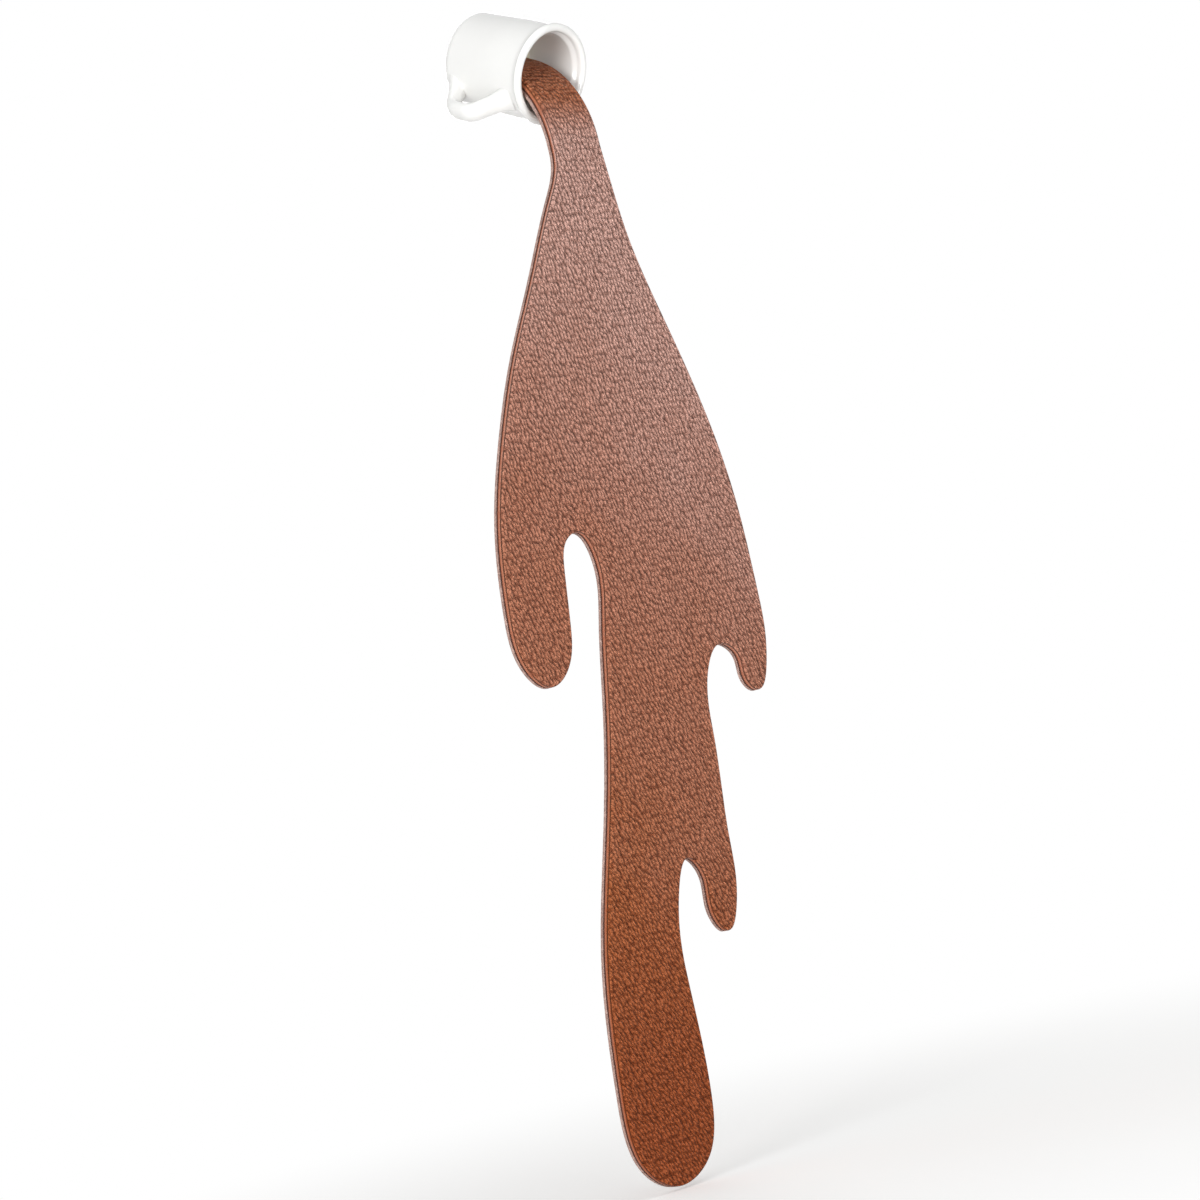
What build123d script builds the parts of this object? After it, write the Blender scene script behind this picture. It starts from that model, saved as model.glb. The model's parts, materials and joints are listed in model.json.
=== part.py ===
from build123d import *
import math
import os

# Leather laminate, from the grain face to the lining
face_leather_thickness = 1.3
bond_film_thickness = 0.2
back_leather_thickness = 0.7

# Spill: the flat blade that lies between the pages
spill_width = 58.0
spill_drop = 178.0
page_edge_drop = 6.0  # the origin, where a page's edge crosses the blade, lies this far below the bend

# Neck: the stretch that bends over the lip and into the cup
bend_radius = 21.0  # on the grain side
cup_tilt = 26.0  # degrees that the mouth is tipped below level
cup_swing = 4.8  # degrees that the mouth is swung to the right of the strip, about the root of the tongue
neck_side_clearance = 1.5  # beside each edge of the strip, where the axis of the cup crosses it
bend_end_share = 0.4926  # of cup_height, from the foot up to where the bend ends inside the cup

# Cup body, measured along and across its own axis
cup_height = 19.4
base_diameter = 16.8
base_corner_run = 1.6
base_corner_rise = 1.9
base_lead = 4.0  # how far the wall starts straight up from the base before it swells
belly_pull_overhang = 0.7  # beyond the base, out to the ring that the curve of the wall is drawn towards
belly_pull_share = 0.62  # of cup_height, up to that ring
waist_overhang = 0.15  # beyond the base, at the narrow ring below the lip
waist_setback = 2.3  # from the lip down to the narrow ring
flare_lead = 0.8  # how far the line of the wall runs on past the waist before it turns out to the lip
lip_overhang = 0.65  # beyond the base
lip_thickness = 1.5
lip_crest = 0.9  # height of the rounded crest of the lip
wall_thickness = 1.5
floor_thickness = 2.0
floor_corner_run = 1.6
floor_corner_rise = 1.8
foot_width = 1.1
foot_recess = 0.5

# Handle: an ear in a plane through the cup's axis
handle_angle = 55.0  # degrees from the underside of the cup towards its left
handle_reach = 5.0  # from the wall at the waist to the middle of the grip
upper_root_share = 0.794  # of cup_height, as are the three heights below
grip_top_share = 0.567
grip_foot_share = 0.32
lower_root_share = 0.134
handle_corner_radius = 3.0
handle_width = 3.9
handle_thickness = 2.6
root_depth = 1.0  # how far the ear is carried into the wall before it is trimmed
# Places along the ear and how full its section is there: it swells to its roots
ear_section_shares = [(0, 1.5), (0.14, 1.03), (0.5, 0.95), (0.86, 1.03), (1, 1.5)]

# Glue plug
glue_level_share = 0.36  # of cup_height, up to which the glue fills the cup
tongue_floor_gap = 0.8  # glue between the middle of the tongue's end and the floor of the cup

# Outline of the spill, down its left side and up its right: shares of spill_width across and of
# spill_drop down
left_side_shares = [
    (-0.098, 0.020), (-0.150, 0.052), (-0.286, 0.129), (-0.422, 0.205), (-0.528, 0.280), (-0.614, 0.364),
]
left_drip_shares = [(-0.647, 0.446), (-0.622, 0.499), (-0.545, 0.519), (-0.466, 0.503), (-0.426, 0.463)]
left_notch_shares = [(-0.405, 0.410), (-0.375, 0.384), (-0.318, 0.377), (-0.269, 0.402)]
tail_left_shares = [(-0.290, 0.464), (-0.353, 0.557), (-0.450, 0.668), (-0.553, 0.777), (-0.605, 0.906)]
tail_tip_shares = [(-0.573, 0.977), (-0.468, 1.000), (-0.324, 0.981), (-0.268, 0.926)]
tail_right_shares = [(-0.264, 0.822), (-0.223, 0.729)]
small_drip_shares = [
    (-0.162, 0.703), (-0.114, 0.721), (-0.110, 0.760), (-0.062, 0.781), (-0.010, 0.758), (0.018, 0.690),
]
right_notch_shares = [(0.043, 0.597), (0.072, 0.533), (0.155, 0.506), (0.217, 0.521)]
right_drip_shares = [(0.226, 0.545), (0.268, 0.558), (0.326, 0.532)]
right_side_shares = [
    (0.352, 0.461), (0.343, 0.371), (0.293, 0.276), (0.205, 0.180), (0.128, 0.093), (0.103, 0.030),
]
spill_shares = (
    left_side_shares + left_drip_shares + left_notch_shares + tail_left_shares + tail_tip_shares
    + tail_right_shares + small_drip_shares + right_notch_shares + right_drip_shares + right_side_shares
)

# Sizes that follow from the ones above
laminate_thickness = face_leather_thickness + bond_film_thickness + back_leather_thickness
bend_angle = 90.0 - cup_tilt
lining_radius = bend_radius - laminate_thickness
middle_radius = bend_radius - laminate_thickness / 2
foot_diameter = base_diameter - 2 * base_corner_run
waist_diameter = base_diameter + 2 * waist_overhang
lip_diameter = base_diameter + 2 * lip_overhang
lip_round = lip_thickness / 2
lip_ring_radius = lip_diameter / 2 - lip_round
waist_height = cup_height - waist_setback
lip_side_height = cup_height - lip_crest
cavity_waist_radius = waist_diameter / 2 - wall_thickness
cavity_base_radius = base_diameter / 2 - wall_thickness
neck_width = 2 * (cavity_base_radius - neck_side_clearance)
bend_end_height = bend_end_share * cup_height
plug_height = glue_level_share * cup_height
tongue_length = bend_end_height - floor_thickness - tongue_floor_gap

# The bend turns about a line behind the blade, level with the top of the flat
bend_centre = Vector(0, lining_radius, page_edge_drop)
tongue_direction = Vector(0, -math.cos(math.radians(cup_tilt)), -math.sin(math.radians(cup_tilt)))
cup_up = Vector(0, -math.sin(math.radians(cup_tilt)), math.cos(math.radians(cup_tilt)))
tongue_root = bend_centre + cup_up * middle_radius
tongue_place = Location(Plane(origin=tongue_root, x_dir=(1, 0, 0), z_dir=tongue_direction))
swing_axis = Axis((0, 0, 0), cup_up)
mouth_direction = tongue_direction.rotate(swing_axis, cup_swing)
cup_across = Vector(1, 0, 0).rotate(swing_axis, cup_swing)
cup_base = tongue_root - mouth_direction * bend_end_height
cup_place = Location(Plane(origin=cup_base, x_dir=cup_across, z_dir=mouth_direction))

# Depth of each sheet in the laminate, from the lining's bare face
sheets = {
    "back_leather": (0, back_leather_thickness),
    "bond_film": (back_leather_thickness, back_leather_thickness + bond_film_thickness),
    "face_leather": (back_leather_thickness + bond_film_thickness, laminate_thickness),
}


def spill_outline():
    """The spill seen from its grain side, as one closed face in X and Z."""
    left_neck = (-neck_width / 2, page_edge_drop)
    right_neck = (neck_width / 2, page_edge_drop)
    points = [(across * spill_width, page_edge_drop - down * spill_drop) for across, down in spill_shares]
    return make_face(Wire([Spline(left_neck, *points, right_neck), Line(right_neck, left_neck)]))


def spill_sheet(near, far):
    """A sheet of the flat blade, between two depths in front of the lining's bare face."""
    sheet_plane = Plane(origin=(0, -near, 0), x_dir=(1, 0, 0), z_dir=(0, -1, 0))
    return extrude(sheet_plane * spill_outline(), far - near)


def neck_sheet(near, far):
    """A sheet of the bend: a sector of a tube about the bend's line."""
    inner, outer = lining_radius + near, lining_radius + far
    start, turn = Vector(0, -1), -bend_angle
    end = start.rotate(Axis.Z, turn)
    section = make_face(Wire([
        Line(start * inner, start * outer),
        CenterArc((0, 0), outer, -90, turn),
        Line(end * outer, end * inner),
        CenterArc((0, 0), inner, -90, turn),
    ]))
    side_plane = Plane(origin=bend_centre, x_dir=(0, 0, -1), z_dir=(1, 0, 0))
    return extrude(side_plane * section, neck_width / 2, both=True)


def tongue_sheet(near, far):
    """A sheet of the straight end that runs down into the glue."""
    block = Box(neck_width, far - near, tongue_length, align=(Align.CENTER, Align.MIN, Align.MAX))
    return tongue_place * (Pos(0, near - laminate_thickness / 2, 0) * block)


def cup_outer_edges():
    """The outside of the cup in radius and height, from the foot to the side of the lip."""
    foot_radius = foot_diameter / 2
    base_radius = base_diameter / 2
    corner = EllipticalCenterArc(
        (foot_radius, base_corner_rise), base_corner_run, base_corner_rise, 270, arc_size=90
    )
    base = Vector(base_radius, base_corner_rise)
    belly_pull = Vector(base_radius + belly_pull_overhang, belly_pull_share * cup_height)
    waist = Vector(waist_diameter / 2, waist_height)
    lip_side = Vector(lip_diameter / 2, lip_side_height)
    flare_pull = waist + (waist - belly_pull).normalized() * flare_lead
    wall = Bezier(base, base + Vector(0, base_lead), belly_pull, waist)
    flare = Bezier(waist, flare_pull, lip_side)
    return [corner, wall, flare]


def cavity_edges():
    """The inside of the cup, from the lip down the wall to the middle of the floor."""
    lip_inside = (lip_ring_radius - lip_round, lip_side_height)
    waist = (cavity_waist_radius, waist_height)
    wall_foot = (cavity_base_radius, floor_thickness + floor_corner_rise)
    floor_edge = (cavity_base_radius - floor_corner_run, floor_thickness)
    fall = Vector(*wall_foot) - Vector(*waist)
    flare = Spline(lip_inside, waist, tangents=((0, -1), fall.normalized()))
    wall = Line(waist, wall_foot)
    corner = EllipticalCenterArc(
        (floor_edge[0], wall_foot[1]), floor_corner_run, floor_corner_rise, 270, arc_size=90
    )
    floor = Line(floor_edge, (0, floor_thickness))
    return [flare, wall, corner, floor]


def turned(edges):
    """A solid turned about the cup's axis from a closed outline in radius and height."""
    return revolve(Plane.XZ * make_face(Wire(edges)), Axis.Z)


def cup_body():
    foot_radius = foot_diameter / 2
    recess_radius = foot_radius - foot_width
    foot = [
        Line((0, floor_thickness), (0, foot_recess)),
        Line((0, foot_recess), (recess_radius, foot_recess)),
        Line((recess_radius, foot_recess), (recess_radius, 0)),
        Line((recess_radius, 0), (foot_radius, 0)),
    ]
    lip = EllipticalCenterArc((lip_ring_radius, lip_side_height), lip_round, lip_crest, 0, arc_size=180)
    return cup_place * turned(foot + cup_outer_edges() + [lip] + cavity_edges())


def cup_handle():
    """An ear of flattened round section that swells to its roots, trimmed to the outside of the wall."""
    wall_radius = waist_diameter / 2
    upper_root = (wall_radius - root_depth, upper_root_share * cup_height)
    grip_top = (wall_radius + handle_reach, grip_top_share * cup_height)
    grip_foot = (wall_radius + handle_reach, grip_foot_share * cup_height)
    lower_root = (wall_radius - root_depth, lower_root_share * cup_height)
    path = FilletPolyline(upper_root, grip_top, grip_foot, lower_root, radius=handle_corner_radius)
    ear_path = Plane.XZ * path
    sections = []
    for place, fullness in ear_section_shares:
        across = Plane(origin=ear_path @ place, x_dir=(0, 1, 0), z_dir=ear_path % place)
        sections.append(across * Ellipse(fullness * handle_width / 2, fullness * handle_thickness / 2))
    ear = sweep(sections, path=ear_path, multisection=True)
    closing = [
        Line((lip_diameter / 2, lip_side_height), (0, lip_side_height)),
        Line((0, lip_side_height), (0, 0)),
        Line((0, 0), (foot_diameter / 2, 0)),
    ]
    left_and_down = Rot(0, 0, -90 - handle_angle)
    return cup_place * left_and_down * (ear - turned(cup_outer_edges() + closing))


def glue_plug():
    """Set glue that fills the bottom of the cup round the end of the tongue."""
    inside = cavity_edges()
    closing = [
        Line((0, floor_thickness), (0, lip_side_height)),
        Line((0, lip_side_height), (lip_ring_radius - lip_round, lip_side_height)),
    ]
    below = Cylinder(lip_diameter, plug_height, align=(Align.CENTER, Align.CENTER, Align.MIN))
    plug = cup_place * (turned(inside + closing) & below)
    return plug - tongue_sheet(0, laminate_thickness)


os.makedirs("parts", exist_ok=True)
solids = {"cup_body": cup_body(), "cup_handle": cup_handle(), "glue_plug": glue_plug()}
for stretch, make_sheet in {"spill": spill_sheet, "neck": neck_sheet, "tongue": tongue_sheet}.items():
    for sheet, (near, far) in sheets.items():
        solids[f"{stretch}_{sheet}"] = make_sheet(near, far)
for node, solid in solids.items():
    export_step(solid, f"parts/{node}.step")
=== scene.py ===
import json
import math

import bmesh
import bpy
import numpy as np
from mathutils import Matrix, Vector
from mathutils.geometry import delaunay_2d_cdt
from mathutils.kdtree import KDTree


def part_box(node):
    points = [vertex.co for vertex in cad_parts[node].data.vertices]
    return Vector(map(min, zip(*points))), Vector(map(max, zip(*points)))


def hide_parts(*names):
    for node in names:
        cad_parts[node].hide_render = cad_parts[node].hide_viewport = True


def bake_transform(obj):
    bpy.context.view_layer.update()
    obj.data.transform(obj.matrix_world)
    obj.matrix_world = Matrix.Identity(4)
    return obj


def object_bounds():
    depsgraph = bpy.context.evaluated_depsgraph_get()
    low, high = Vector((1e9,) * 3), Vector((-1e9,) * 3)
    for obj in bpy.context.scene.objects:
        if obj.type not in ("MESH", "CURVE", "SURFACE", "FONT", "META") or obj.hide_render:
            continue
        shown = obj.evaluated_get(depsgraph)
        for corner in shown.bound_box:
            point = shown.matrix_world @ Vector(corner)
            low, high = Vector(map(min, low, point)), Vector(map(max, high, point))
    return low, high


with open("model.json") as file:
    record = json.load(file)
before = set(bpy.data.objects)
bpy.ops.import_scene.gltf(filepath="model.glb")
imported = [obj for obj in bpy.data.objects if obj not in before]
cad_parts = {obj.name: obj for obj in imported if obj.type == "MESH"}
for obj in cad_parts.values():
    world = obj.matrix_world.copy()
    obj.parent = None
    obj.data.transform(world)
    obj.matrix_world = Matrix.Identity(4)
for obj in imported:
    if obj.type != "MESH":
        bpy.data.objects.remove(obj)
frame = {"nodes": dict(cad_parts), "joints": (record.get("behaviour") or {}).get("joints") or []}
cad_low, cad_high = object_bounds()

MM = 0.001

# Camera, at the photograph's viewing angle
camera_place = Vector((-413.6, -437.1, -104.2)) * MM
camera_aim = Vector((-9.9, 6.0, -72.6)) * MM
camera_roll = math.radians(-12.0)
camera_lens = 104.0  # in mm
camera_sensor = 36.0  # its width in mm
camera_clip = 10 * MM

# Leather: how the three sheets of the laminate are cut and bent
bend_angle = math.radians(64.0)
same_point = 0.001 * MM  # corners of the CAD mesh this close are one
neck_reach = 0.01 * MM  # how near the bend a corner is an end of the outline
grain_facing = -0.99  # the grain's faces look towards -Y
rim_step = 0.4 * MM  # between points along a cut edge
rim_rounds = 3  # times that the outline's corners are smoothed
cap_step = 1.2 * MM  # between points inside a plain face
grain_step = 0.28 * MM  # between points of the pebbled face
rim_clearance = 0.7  # least distance of an inner point from the cut edge, in those steps
grain_roll = 0.5 * MM  # how far in from its cut edge the grain starts to round over
grain_fall = 0.7 * MM  # how far down the cut edge it rounds
edge_groove = 0.08 * MM  # how far the cut edge draws in towards the bond
edge_belly = 0.3 * MM  # from the bond up to where the cut edge stands out most
lining_roll = 0.18 * MM
film_inset = 0.04 * MM  # how far the bond line lies back from the edges of the leather
sharp_edge = math.radians(60)

# Pebbles in the grain's mesh, over the flat cut in mm
pebble_depth = 0.1 * MM  # from the crown of a pebble down to the deepest crease
pebble_fade = 1.1 * MM  # from the cut edge in to where the pebbles have their full relief
pebble_size = np.array([1.1, 0.9])  # across and along the cut
pebble_seed = 5
pebble_shifts = ((3.0, 0.9, (1, 2)), (0.6, 0.4, (3, 4)))  # size, reach and two seeds of each wavering
crease_across = 0.55  # depth of a crease that runs across the rest, as a share
crease_shallow = 0.5  # depth of the shallowest crease, as a share
crease_slope = (-0.1, 0.45)  # from a crease's bottom to a pebble's crown
crease_upright = math.radians(90)  # the way the deepest creases run on the left
crease_lean = math.radians(65)  # how far they lean over from it on the right
crease_lean_span = (2.0, 14.0)  # where they turn, across the cut
table_size = 256  # random numbers each way before they repeat

# The grain's material, over the flat cut in mm
grain_scale = (1.4, 1.04)  # pebbles per mm across and along the cut
grain_wildness = 0.65  # how far their centres stray from even rows
grain_fine = (1.9, 0.27)  # the scale and the share of smaller pebbles among them
grain_drift = (0.5, 0.5, 0)  # how far places waver
grain_slant = (0.12, 0.0011)  # the lean of the rows at the neck, and how it grows down the blade
crease_share = 0.08  # how much the mesh's own creases add
hollow_shade_span = (0.35, 0.9)  # painted shade in the hollows: from the crown's colour to the hollow's darker one
grain_bump = 1.6 * MM
grain_bump_end = (1.0, 0.8)  # the bump starts inside the cut edge
grain_roughness = (0.4, 0.6)  # on the crowns and in the hollows
# Painted sheen: the pale veil of a broad lamp's reflection, painted into the grain's colour over the upper
# half
sheen_lean = 0.9  # how much further down the painted sheen reaches per mm to the right
sheen_ragged = 40.0  # how ragged its lower end is
sheen_faint = (-155.0, -105.0, 0.22)  # from and to this height, and its strength there
sheen_full = (-105.0, 0.0, 0.78)
sheen_in_cup = 0.1  # what is left of the painted sheen inside the cup, which shades it
cup_entry = (16.0, 6.0)  # heights where the tongue goes into the cup
tail_span = (-110.0, -165.0)  # heights where the body's colour turns into the tail's
edge_shade = (0.92, 1.15)  # depths in front of the lining where the dark line by the bond ends
edge_top = (1.55, 1.25)  # and where the face's colour ends and the cut edge's begins
nap_span = (0.32, 0.68)  # the part of the noise that makes the lining's nap
lining_cloud = 0.55  # the cloudy share of the lining's colour; the nap has the rest

# Colours on a screen, from 0 to 255. In the grain they are those of the crowns and of the hollows, darker by
# painted shade
body_colours = ((188, 110, 68), (166, 88, 50))
tail_colours = ((174, 91, 51), (152, 74, 37))
# painted sheen: the veiled colours of the upper half, a lamp's reflection painted in
sheen_colours = ((224, 177, 163), (202, 152, 137))
edge_colours = ((158, 92, 66), (196, 124, 96))
edge_dark = (112, 60, 44)
lining_colours = ((152, 114, 102), (216, 184, 172))
bond_colours = ((46, 24, 18), (88, 48, 36))
glaze_colours = ((236, 236, 234), (242, 242, 240))
glue_colours = ((190, 182, 158), (214, 208, 190))
floor_colour = (246, 246, 245)

# Stage: soft boxes with their direction from the object, distance and sides in m, and power in W
lamps = {
    "key_box": ((-0.9, -0.35, 0.05), 0.9, (0.3, 0.3), 4.4),
    "front_box": ((-0.2, -0.95, -0.1), 0.6, (0.4, 0.07), 1.5),
    "top_box": ((0.1, -0.3, 1.0), 1.0, (0.8, 0.8), 2.4),
    "back_box": ((0.6, 0.9, 0.3), 1.0, (0.6, 0.6), 2.5),
}
world_light = 0.3  # what the white world adds to the light; it shows as plain white itself
floor_side = 8.0
floor_gap = 0.5 * MM  # under the tip of the blade
floor_lift = 0.3  # light added where the floor is seen
floor_fade = (0.04, 0.22)  # in m from the floor's middle, where it turns plain white

# Places in the frame that the sheets follow
spill_low, spill_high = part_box("spill_face_leather")
lining_low, lining_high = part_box("spill_back_leather")
film_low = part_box("spill_bond_film")[0]
tongue_low, tongue_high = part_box("tongue_face_leather")
bend_start = spill_high.z
laminate = lining_high.y - spill_low.y
hinge = Vector(frame["joints"][0]["pos_m"])
middle_radius = (hinge.z - bend_start) / math.tan(bend_angle / 2)
bend_centre = Vector((0, middle_radius - laminate / 2, bend_start))
neck_width = tongue_high.x - tongue_low.x
neck_length = middle_radius * bend_angle
face_thickness = spill_high.y - spill_low.y
tongue_depth = tongue_high.y - tongue_low.y
tongue_length = (tongue_depth - face_thickness * math.cos(bend_angle)) / math.sin(bend_angle)
strip_end = bend_start + neck_length + tongue_length


def smooth(value, low, high):
    """A smooth step from 0 at low to 1 at high."""
    share = np.clip((value - low) / (high - low), 0, 1)
    return share * share * (3 - 2 * share)


def bent(flat):
    """Points of the flat cut, each with a depth in front of the lining's bare face, where the neck's bend
    takes them."""
    u, v, depth = np.asarray(flat, float).T
    turned = np.clip(v - bend_start, 0, neck_length) / middle_radius
    past = np.maximum(v - bend_start - neck_length, 0)
    before = np.minimum(v - bend_start, 0)
    radius = bend_centre.y + depth
    y = bend_centre.y - radius * np.cos(turned) + past * np.sin(turned)
    z = bend_start + before + radius * np.sin(turned) + past * np.cos(turned)
    return np.stack([u, y, z], axis=1)


def blade_outline():
    """The spill's outline on its grain side, from the neck's left end round the drips to its right end."""
    shape = bmesh.new()
    shape.from_mesh(frame["nodes"]["spill_face_leather"].data)
    bmesh.ops.remove_doubles(shape, verts=shape.verts, dist=same_point)
    grain = {f for f in shape.faces if f.normal.y < grain_facing}
    neighbours = {}
    for edge in shape.edges:
        if len(grain.intersection(edge.link_faces)) == 1:
            for near, far in (edge.verts, reversed(edge.verts)):
                neighbours.setdefault(near, []).append(far)
    top = [v for v in neighbours if v.co.z > bend_start - neck_reach]
    left = min(top, key=lambda v: v.co.x)
    right = max(top, key=lambda v: v.co.x)
    here = min(neighbours[left], key=lambda v: v.co.z)
    walk = [left, here]
    while here is not right:
        here = next(v for v in neighbours[here] if v is not walk[-2])
        walk.append(here)
    points = [(v.co.x, v.co.z) for v in walk]
    shape.free()
    return points


def spaced(points, step):
    """The same line with evenly spaced points."""
    line = np.array(points)
    run = np.concatenate([[0], np.cumsum(np.linalg.norm(np.diff(line, axis=0), axis=1))])
    places = np.linspace(0, run[-1], max(2, round(run[-1] / step)))
    return np.stack([np.interp(places, run, line[:, 0]), np.interp(places, run, line[:, 1])], axis=1)


def cut_outline():
    """The whole flat cut as a closed loop: the blade's outline and the strip that goes up into the cup."""
    half = neck_width / 2
    strip = [(half, bend_start), (half, strip_end), (-half, strip_end), (-half, bend_start)]
    loop = np.concatenate([spaced(blade_outline(), rim_step)[:-1], spaced(strip, rim_step)[:-1]])
    for _ in range(rim_rounds):
        loop = (np.roll(loop, 1, axis=0) + 2 * loop + np.roll(loop, -1, axis=0)) / 4
    return loop


def inset_loop(loop, distance):
    """A closed loop moved inwards."""
    along = np.roll(loop, -1, axis=0) - np.roll(loop, 1, axis=0)
    along /= np.linalg.norm(along, axis=1)[:, None]
    return loop + distance * np.stack([-along[:, 1], along[:, 0]], axis=1)


def inside_points(loop, step):
    """Staggered points inside a closed loop, clear of its edge."""
    low, high = loop.min(axis=0), loop.max(axis=0)
    following = np.roll(loop, -1, axis=0)
    found = []
    for row, v in enumerate(np.arange(low[1] + step, high[1], step * math.sqrt(3) / 2)):
        u = np.arange(low[0] + step * (row % 2) / 2, high[0], step)
        crossing = (loop[:, 1] > v) != (following[:, 1] > v)
        a, b = loop[crossing], following[crossing]
        cut = a[:, 0] + (v - a[:, 1]) / (b[:, 1] - a[:, 1]) * (b[:, 0] - a[:, 0])
        inside = (u[:, None] < cut[None]).sum(axis=1) % 2 == 1
        near = loop[np.abs(loop[:, 1] - v) < step]
        if len(near):
            away = np.hypot(u[:, None] - near[:, 0], v - near[:, 1]).min(axis=1)
            inside &= away > rim_clearance * step
        found += [(x, v) for x in u[inside]]
    return np.array(found)


def soft_noise(points, cell, seed):
    """Smooth random values from 0 to 1 over the flat cut."""
    table = np.random.default_rng(seed).random((table_size, table_size))
    place = points / cell
    corner = np.floor(place).astype(int)
    share = smooth(place - corner, 0, 1)
    columns = []
    for step in (0, 1):
        column = (corner[:, 0] + step) % table_size
        below, above = (table[column, (corner[:, 1] + k) % table_size] for k in (0, 1))
        columns.append(below + (above - below) * share[:, 1])
    return columns[0] + (columns[1] - columns[0]) * share[:, 0]


def creases(points, cell, seed):
    """How far each point lies from the crease between its two nearest pebbles, the direction across that
    crease, and a random number for it."""
    table = np.random.default_rng(seed).random((table_size, table_size, 3))
    home = np.floor(points / cell).astype(int)
    gaps, centres, numbers = [], [], []
    for across in range(-2, 3):
        for along in range(-2, 3):
            corner = home + (across, along)
            drawn = table[corner[:, 0] % table_size, corner[:, 1] % table_size]
            centre = (corner + drawn[:, :2]) * cell
            gaps.append(np.linalg.norm(centre - points, axis=1))
            centres.append(centre)
            numbers.append(drawn[:, 2])
    gaps, centres, numbers = np.array(gaps), np.array(centres), np.array(numbers)
    everyone = np.arange(len(points))
    first, second = np.argpartition(gaps, 1, axis=0)[:2]
    apart = centres[second, everyone] - centres[first, everyone]
    width = np.linalg.norm(apart, axis=1)
    edge = (gaps[second, everyone] ** 2 - gaps[first, everyone] ** 2) / (2 * width)
    # the factor only spreads the sum of the two pebbles' numbers over 0 to 1
    number = (7 * (numbers[first, everyone] + numbers[second, everyone])) % 1
    return edge, apart / width[:, None], number


def pebbled(points):
    """The grain over points of the flat cut in mm: 1 on the crown of a pebble, down to 0 in a deep crease.
    The deepest creases run up and down on the left and in the middle, and lean over on the right."""
    moved = points
    for size, reach, seeds in pebble_shifts:
        wavering = np.stack([soft_noise(points, size, seed) for seed in seeds], axis=1) - 0.5
        moved = moved + reach * wavering
    edge, across, number = creases(moved, pebble_size, pebble_seed)
    lean = crease_upright - crease_lean * smooth(points[:, 0], *crease_lean_span)
    runs_along = (across[:, 1] * np.cos(lean) - across[:, 0] * np.sin(lean)) ** 2
    depth = crease_across + (1 - crease_across) * runs_along
    depth = depth * (crease_shallow + (1 - crease_shallow) * number)
    return 1 - depth * (1 - smooth(edge, *crease_slope))


def filled(ring, step):
    """A flat face inside a closed ring of points: the points added to it, and its triangles. A corner's
    number counts the ring's points first and the added ones after them."""
    count = len(ring)
    corners = [Vector(p) for p in ring] + [Vector(p) for p in inside_points(ring, step)]
    only_inside, one_place = 1, 1e-9
    found = delaunay_2d_cdt(corners, [], [list(range(count))], only_inside, one_place)
    places, _, triangles, origins = found[:4]
    numbers = []
    added = []
    for place, origin in zip(places, origins):
        if origin and origin[0] < count:
            numbers.append(origin[0])
        else:
            numbers.append(count + len(added))
            added.append(place)
    return np.array(added), [[numbers[k] for k in triangle] for triangle in triangles]


def edge_distances(loop, points):
    """How far each point lies from the nearest point of a loop."""
    tree = KDTree(len(loop))
    for i, (u, v) in enumerate(loop):
        tree.insert((u, v, 0), i)
    tree.balance()
    return np.array([tree.find((u, v, 0))[2] for u, v in points])


def make_sheet(name, loop, profile, grained=False):
    """A closed sheet of the laminate. The profile is the section of its cut edge, from its back face to its
    front face, as steps inwards and depths in front of the lining's bare face."""
    count = len(loop)
    rings = [inset_loop(loop, inset) for inset, _ in profile]
    widest = max(inset for inset, _ in profile)
    flat = [np.column_stack([ring, np.full(count, depth)]) for ring, (_, depth) in zip(rings, profile)]
    rim = [np.full(count, 1 - inset / widest) for inset, _ in profile]
    crease = [np.zeros(count) for _ in profile]
    total = count * len(profile)
    faces = []
    for lower in range(len(profile) - 1):
        a, b = lower * count, (lower + 1) * count
        faces += [(a + i, a + (i + 1) % count, b + (i + 1) % count, b + i) for i in range(count)]
    for last, step in ((0, cap_step), (len(profile) - 1, grain_step if grained else cap_step)):
        added, triangles = filled(rings[last], step)
        for triangle in triangles:
            corners = [last * count + k if k < count else total + k - count for k in triangle]
            faces.append(corners if last else corners[::-1])
        drop = np.zeros(len(added))
        if last and grained:
            relief = smooth(edge_distances(loop, added), grain_roll, pebble_fade)
            drop = (1 - pebbled(added / MM)) * relief
        flat.append(np.column_stack([added, profile[last][1] - pebble_depth * drop]))
        rim.append(np.zeros(len(added)))
        crease.append(drop)
        total += len(added)
    flat = np.concatenate(flat)
    mesh = bpy.data.meshes.new(name)
    mesh.from_pydata(bent(flat), [], faces)
    place = mesh.attributes.new("flat_place", "FLOAT_VECTOR", "POINT")
    place.data.foreach_set("vector", (flat / MM).ravel())
    for label, values in (("cut_edge", rim), ("crease", crease)):
        mesh.attributes.new(label, "FLOAT", "POINT").data.foreach_set("value", np.concatenate(values))
    mesh.shade_smooth()
    mesh.set_sharp_from_angle(angle=sharp_edge)
    piece = bpy.data.objects.new(name, mesh)
    bpy.context.scene.collection.objects.link(piece)
    return piece


def rolled(inset, fall, depth, steps=6):
    """A quarter round over a sheet's edge, from the cut edge to the face at that depth."""
    turns = [math.pi / 2 * k / steps for k in range(steps + 1)]
    return [(inset * (1 - math.cos(t)), depth - fall * (1 - math.sin(t))) for t in turns]


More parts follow.
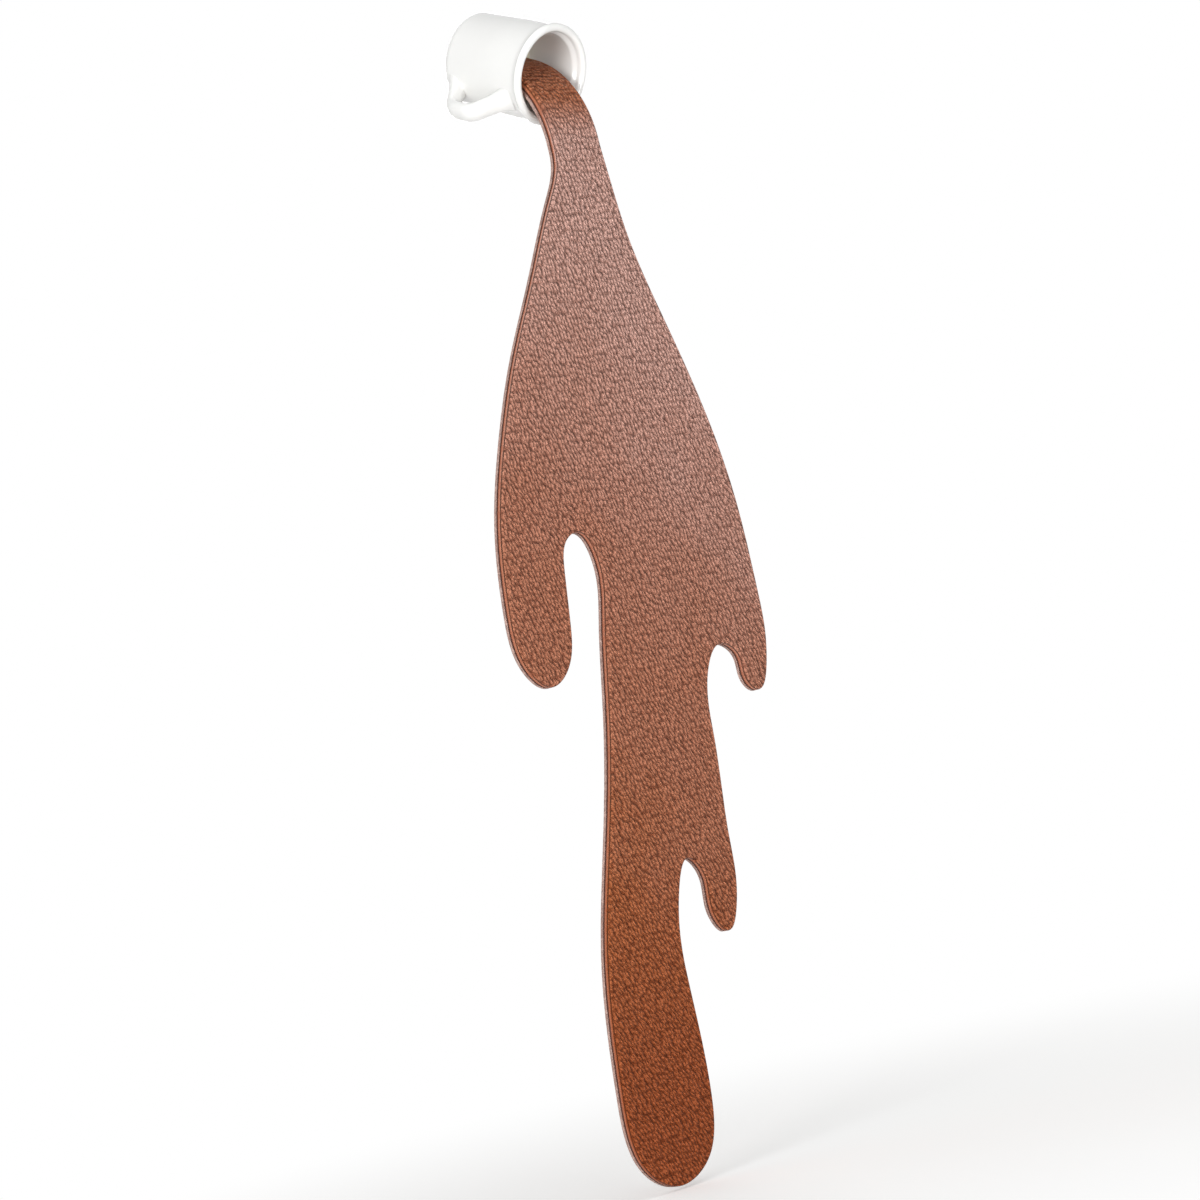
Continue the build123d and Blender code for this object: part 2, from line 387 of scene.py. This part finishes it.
def make_leather():
    """The three sheets of the laminate, each one piece from the tip of the spill to its end in the glue."""
    loop = cut_outline()
    lining_top = lining_high.y - lining_low.y
    film_top = lining_high.y - film_low.y
    face_edge = [(edge_groove, film_top), (0, film_top + edge_belly)]
    lining_round = rolled(lining_roll, lining_roll, 0, steps=3)
    lining_edge = [(inset, -depth) for inset, depth in reversed(lining_round)]
    profiles = {
        "face_leather": face_edge + rolled(grain_roll, grain_fall, laminate),
        "bond_film": [(film_inset, lining_top), (film_inset, film_top)],
        "back_leather": lining_edge + [(0, lining_top)],
    }
    pieces = {}
    for sheet, profile in profiles.items():
        piece = make_sheet(sheet, loop, profile, grained=sheet == "face_leather")
        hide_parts(f"spill_{sheet}", f"neck_{sheet}", f"tongue_{sheet}")
        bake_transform(piece)
        pieces[sheet] = piece
    return pieces


def linear(red, green, blue):
    """A colour given as 0 to 255 on a screen, in linear light."""
    parts = [c / 255 for c in (red, green, blue)]
    return (*[p / 12.92 if p <= 0.04045 else ((p + 0.055) / 1.055) ** 2.4 for p in parts], 1)


class Nodes:
    """The nodes of a new material or world, added one by one with their inputs."""

    def __init__(self, owner, shader="Principled BSDF"):
        owner.use_nodes = True
        self.owner = owner
        self.tree = owner.node_tree
        self.shader = self.tree.nodes[shader]

    def add(self, kind, inputs=None, **settings):
        node = self.tree.nodes.new(kind)
        for key, value in settings.items():
            setattr(node, key, value)
        for key, value in (inputs or {}).items():
            self.feed(node.inputs[key], value)
        return node

    def feed(self, socket, value):
        if isinstance(value, bpy.types.NodeSocket):
            self.tree.links.new(value, socket)
        else:
            socket.default_value = value

    def math(self, operation, *values):
        return self.add("ShaderNodeMath", dict(enumerate(values)), operation=operation).outputs[0]

    def plus(self, a, b):
        return self.math("ADD", a, b)

    def times(self, a, b):
        return self.math("MULTIPLY", a, b)

    def ramp(self, value, low, high):
        """Value taken from low to high as a smooth step from 0 to 1."""
        inputs = {"Value": value, "From Min": low, "From Max": high}
        return self.add("ShaderNodeMapRange", inputs, interpolation_type="SMOOTHSTEP").outputs["Result"]

    def spread(self, value, low, high):
        """A value from 0 to 1 as one from low to high."""
        return self.add("ShaderNodeMapRange", {"Value": value, "To Min": low, "To Max": high}).outputs[0]

    def mix(self, factor, a, b):
        """A colour between two."""
        node = self.add("ShaderNodeMix", data_type="RGBA")
        for place, value in ((0, factor), (6, a), (7, b)):
            self.feed(node.inputs[place], value)
        return node.outputs[2]

    def tint(self, factor, colours):
        """A colour between two that are given as on a screen."""
        return self.mix(factor, *[linear(*colour) for colour in colours])

    def noise(self, place, scale, detail, output="Fac"):
        inputs = {"Vector": place, "Scale": scale, "Detail": detail}
        return self.add("ShaderNodeTexNoise", inputs).outputs[output]

    def cells(self, place, scale, randomness=1.0, **settings):
        """How far a place lies from the centre of its random cell."""
        inputs = {"Vector": place, "Scale": scale, "Randomness": randomness}
        return self.add("ShaderNodeTexVoronoi", inputs, **settings).outputs["Distance"]

    def bump(self, height, strength, depth):
        inputs = {"Height": height, "Strength": strength, "Distance": depth}
        return self.add("ShaderNodeBump", inputs).outputs[0]

    def attribute(self, name, output="Fac"):
        return self.add("ShaderNodeAttribute", attribute_name=name).outputs[output]

    def flat_place(self):
        """Where a point lies on the flat cut, and its depth, in mm."""
        return self.attribute("flat_place", "Vector")

    def object_place(self):
        return self.add("ShaderNodeTexCoord").outputs["Object"]

    def shade(self, **inputs):
        for key, value in inputs.items():
            self.feed(self.shader.inputs[key.replace("_", " ")], value)


def new_material(name):
    return Nodes(bpy.data.materials.new(name))


def small_pebbles(n, place):
    """How far a place of the flat cut lies below the crowns of its small pebbles."""
    drift = n.noise(place, scale=0.5, detail=0.0, output="Color")
    drift = n.add("ShaderNodeVectorMath", {0: drift, 1: grain_drift}, operation="MULTIPLY").outputs[0]
    drifted = n.add("ShaderNodeVectorMath", {0: place, 1: drift}, operation="ADD").outputs[0]
    u, v, _ = n.add("ShaderNodeSeparateXYZ", {0: drifted}).outputs
    slant, slant_growth = grain_slant
    lean = n.times(v, n.math("SUBTRACT", slant, n.times(v, slant_growth)))
    across = n.times(n.plus(u, lean), grain_scale[0])
    along = n.times(v, grain_scale[1])
    pebble_place = n.add("ShaderNodeCombineXYZ", {0: across, 1: along}).outputs[0]
    fine_scale, fine_share = grain_fine
    coarse = n.cells(pebble_place, scale=1.0, randomness=grain_wildness, voronoi_dimensions="2D")
    fine = n.cells(pebble_place, scale=fine_scale, voronoi_dimensions="2D")
    return n.plus(coarse, n.times(fine, fine_share))


def painted_sheen(n, place, axes):
    """How strong the painted sheen is: full near the neck, faint lower down, and nearly gone in the cup's
    shade.
    """
    mottle = n.noise(place, scale=0.07, detail=4.0)
    reach = n.plus(axes["Y"], n.times(axes["X"], sheen_lean))
    reach = n.plus(reach, n.times(n.math("SUBTRACT", mottle, 0.5), sheen_ragged))
    parts = [n.times(n.ramp(reach, low, high), share) for low, high, share in (sheen_faint, sheen_full)]
    outside_cup = n.plus(sheen_in_cup, n.times(n.ramp(axes["Y"], *cup_entry), 1 - sheen_in_cup))
    return n.times(n.plus(*parts), outside_cup)


def grain_leather():
    """Pebbled brown leather with a painted sheen over its upper half, painted shade in its hollows and a
    smooth dyed cut edge.
    """
    n = new_material("grain_leather")
    place = n.flat_place()
    axes = n.add("ShaderNodeSeparateXYZ", {0: place}).outputs
    hollow = n.plus(small_pebbles(n, place), n.times(n.attribute("crease"), crease_share))
    # painted shade: the hollows between the pebbles take a darker colour
    hollow_shade = n.ramp(hollow, *hollow_shade_span)
    body = n.tint(hollow_shade, body_colours)
    body = n.mix(n.ramp(axes["Y"], *tail_span), body, n.tint(hollow_shade, tail_colours))
    # painted sheen over the upper half of the blade
    face = n.mix(painted_sheen(n, place, axes), body, n.tint(hollow_shade, sheen_colours))
    fibres = n.noise(place, scale=3.5, detail=6.0)
    side = n.mix(n.ramp(axes["Z"], *edge_shade), linear(*edge_dark), n.tint(fibres, edge_colours))
    colour = n.mix(n.ramp(axes["Z"], *edge_top), face, side)
    dome = n.math("SUBTRACT", 1.0, n.math("POWER", hollow, 2.0))
    relief = n.times(dome, n.ramp(n.attribute("cut_edge"), *grain_bump_end))
    bump = n.bump(relief, strength=1.0, depth=grain_bump)
    roughness = n.spread(hollow_shade, *grain_roughness)
    n.shade(Base_Color=colour, Roughness=roughness, Normal=bump, Specular_IOR_Level=0.12)
    return n.owner


def lining_leather():
    """Pale lining with a cloudy colour, a short nap and a faint hair-cell grain."""
    n = new_material("lining_leather")
    place = n.flat_place()
    hair_cells = n.cells(place, scale=1.3, feature="SMOOTH_F1")
    cloud = n.noise(place, scale=0.12, detail=5.0)
    nap = n.ramp(n.noise(place, scale=1.4, detail=6.0), *nap_span)
    shade = n.plus(n.times(cloud, lining_cloud), n.times(nap, 1 - lining_cloud))
    relief = n.times(n.plus(hair_cells, nap), 0.5)
    bump = n.bump(relief, strength=0.8, depth=0.6 * MM)
    n.shade(Base_Color=n.tint(shade, lining_colours), Roughness=0.72, Normal=bump)
    return n.owner


def bond_cement():
    """Dark set cement, only seen as a line along the cut edge."""
    n = new_material("bond_cement")
    smear = n.noise(n.flat_place(), scale=1.5, detail=4.0)
    n.shade(Base_Color=n.tint(smear, bond_colours), Roughness=0.6)
    return n.owner


def white_glaze():
    """Glossy white glaze with a faint unevenness."""
    n = new_material("white_glaze")
    place = n.object_place()
    cloud = n.noise(place, scale=120.0, detail=3.0)
    sag = n.noise(place, scale=260.0, detail=1.0)
    bump = n.bump(sag, strength=0.2, depth=0.05 * MM)
    n.shade(Base_Color=n.tint(cloud, glaze_colours), Roughness=0.12, Normal=bump)
    return n.owner


def set_glue():
    """Cloudy set glue."""
    n = new_material("set_glue")
    cloud = n.noise(n.object_place(), scale=500.0, detail=4.0)
    bump = n.bump(cloud, strength=0.4, depth=0.1 * MM)
    n.shade(Base_Color=n.tint(cloud, glue_colours), Roughness=0.35, Normal=bump)
    return n.owner


def dress(piece, material):
    piece.data.materials.clear()
    piece.data.materials.append(material)


def add_camera():
    data = bpy.data.cameras.new("camera")
    data.lens = camera_lens
    data.sensor_width = camera_sensor
    data.clip_start = camera_clip
    camera = bpy.data.objects.new("camera", data)
    bpy.context.scene.collection.objects.link(camera)
    turn = (camera_aim - camera_place).to_track_quat("-Z", "Y").to_matrix().to_4x4()
    camera.matrix_world = Matrix.Translation(camera_place) @ turn @ Matrix.Rotation(camera_roll, 4, "Z")
    bpy.context.scene.camera = camera


def add_lamp(name, direction, distance, size, strength):
    """A soft box that faces the middle of the object from a direction."""
    middle = (cad_low + cad_high) / 2
    data = bpy.data.lights.new(name, "AREA")
    data.shape = "RECTANGLE"
    data.size, data.size_y = size
    data.energy = strength
    lamp = bpy.data.objects.new(name, data)
    bpy.context.scene.collection.objects.link(lamp)
    lamp.location = middle + Vector(direction).normalized() * distance
    lamp.rotation_euler = (middle - lamp.location).to_track_quat("-Z", "Y").to_euler()


def seen_directly(n):
    """1 for a ray that shows the background itself: straight to the camera, in a gloss or through glass."""
    paths = n.add("ShaderNodeLightPath").outputs
    straight = n.math("MAXIMUM", paths["Is Camera Ray"], paths["Is Glossy Ray"])
    return n.math("MAXIMUM", straight, paths["Is Transmission Ray"])


def add_floor():
    """A pale floor under the tip of the blade, which holds its shadow and fades to plain white."""
    bpy.ops.mesh.primitive_plane_add(size=floor_side, location=(0, 0, cad_low.z - floor_gap))
    floor = bpy.context.object
    floor.name = "floor"
    n = new_material("pale_floor")
    n.shade(Base_Color=linear(*floor_colour), Roughness=0.9, Specular_IOR_Level=0.0)
    seen = seen_directly(n)
    away = n.add("ShaderNodeVectorMath", {0: n.object_place()}, operation="LENGTH").outputs["Value"]
    lift = n.add("ShaderNodeEmission", {"Strength": n.times(seen, floor_lift)}).outputs[0]
    lifted = n.add("ShaderNodeAddShader", {0: n.shader.outputs[0], 1: lift}).outputs[0]
    white = n.add("ShaderNodeEmission").outputs[0]
    faded = n.times(seen, n.ramp(away, *floor_fade))
    both = n.add("ShaderNodeMixShader", {0: faded, 1: lifted, 2: white}).outputs[0]
    n.feed(n.tree.nodes["Material Output"].inputs["Surface"], both)
    dress(floor, n.owner)


def add_world():
    """A white world that shows as plain white and lights the object less."""
    n = Nodes(bpy.data.worlds.new("studio"), "Background")
    n.shade(Color=(1, 1, 1, 1), Strength=n.spread(seen_directly(n), world_light, 1.0))
    bpy.context.scene.world = n.owner


bpy.context.scene.view_settings.view_transform = "Standard"
leather = make_leather()
dress(leather["face_leather"], grain_leather())
dress(leather["back_leather"], lining_leather())
dress(leather["bond_film"], bond_cement())
glaze = white_glaze()
dress(frame["nodes"]["cup_body"], glaze)
dress(frame["nodes"]["cup_handle"], glaze)
dress(frame["nodes"]["glue_plug"], set_glue())
add_camera()
add_floor()
add_world()
for name, settings in lamps.items():
    add_lamp(name, *settings)
